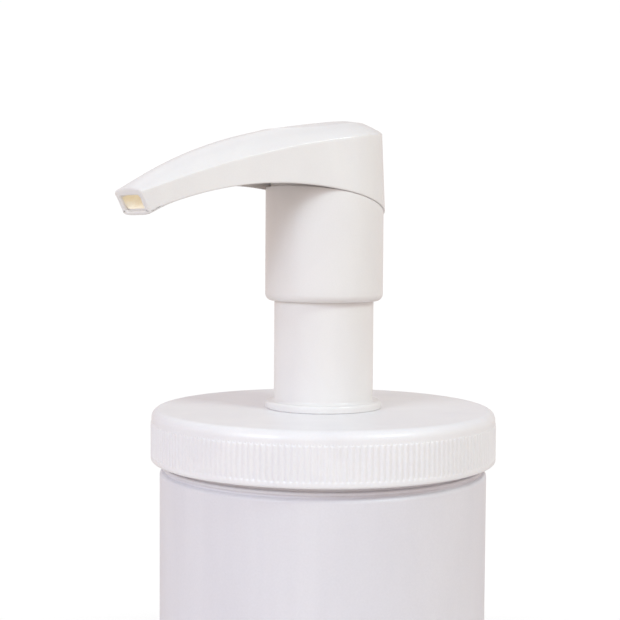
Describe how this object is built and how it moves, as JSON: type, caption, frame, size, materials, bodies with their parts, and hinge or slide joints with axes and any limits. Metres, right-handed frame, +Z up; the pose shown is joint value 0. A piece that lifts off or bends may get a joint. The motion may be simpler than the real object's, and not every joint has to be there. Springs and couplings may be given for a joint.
{
  "type": "condiment pump dispenser",
  "caption": "Straight-sided round jar with a ribbed screw lid and a press-down pump whose arched spout swivels over it.",
  "frame": {"origin": "centre of the jar's flat base, on the jar's axis", "axes": "+Z up the jar's axis, the spout points along -X at rest, +Y to the spout's right-hand side seen from behind the head"},
  "size_m": [0.1425, 0.125, 0.2764],
  "materials": {
    "jar_pp": "satin moulded polypropylene, slightly translucent white",
    "lid_pp": "satin moulded polypropylene, white",
    "pump_pp": "smooth moulded polypropylene, warm white",
    "liner_foam": "closed-cell polyethylene foam",
    "seal_silicone": "moulded silicone rubber",
    "tube_pe": "extruded natural polyethylene",
    "ball_steel": "polished stainless steel",
    "spring_steel": "drawn stainless steel wire"
  },
  "bodies": {
    "jar": {"jar": "jar_pp"},
    "liner": {"lid_liner": "liner_foam"},
    "lid": {"screw_lid": "lid_pp", "pump_collar": "pump_pp", "collar_gasket": "seal_silicone", "pump_barrel": "pump_pp", "stem_guide_bush": "pump_pp", "stem_wiper": "seal_silicone", "foot_valve_cap": "pump_pp", "inlet_ball_cage": "pump_pp", "dip_tube": "tube_pe", "return_spring": "spring_steel"},
    "inlet_valve": {"inlet_ball": "ball_steel"},
    "piston": {"piston": "pump_pp", "piston_seal": "seal_silicone"},
    "head": {"piston_stem": "pump_pp", "stem_foot_seat": "pump_pp", "outlet_ball_cage": "pump_pp", "spout_duct": "pump_pp", "sleeve": "pump_pp", "head_cover": "pump_pp"},
    "outlet_valve": {"outlet_ball": "ball_steel"}
  },
  "joints": [
    {"name": "lid_lift", "type": "slide", "parent": "jar", "child": "liner", "axis": [0, 0, 1], "range_m": [0, 0.00625]},
    {"name": "lid_unscrew", "type": "hinge", "parent": "liner", "child": "lid", "pos_m": [0, 0, 0.1538], "axis": [0, 0, 1], "range_deg": [0, 450]},
    {"name": "inlet_ball_lift", "type": "slide", "parent": "lid", "child": "inlet_valve", "axis": [0, 0, 1], "range_m": [0, 0.0025]},
    {"name": "pump_press", "type": "slide", "parent": "lid", "child": "piston", "axis": [0, 0, -1], "range_m": [0, 0.035], "stiffness_N_per_m": 300, "springref_m": -0.02, "deforming": ["return_spring"]},
    {"name": "head_swivel", "type": "hinge", "parent": "piston", "child": "head", "pos_m": [0, 0, 0.2], "axis": [0, 0, 1], "continuous": true},
    {"name": "outlet_ball_lift", "type": "slide", "parent": "head", "child": "outlet_valve", "axis": [0, 0, 1], "range_m": [0, 0.0025]}
  ],
  "couplings": [
    {"joint": "lid_unscrew", "follows": "lid_lift", "rad_per_m": 1256.6}
  ]
}
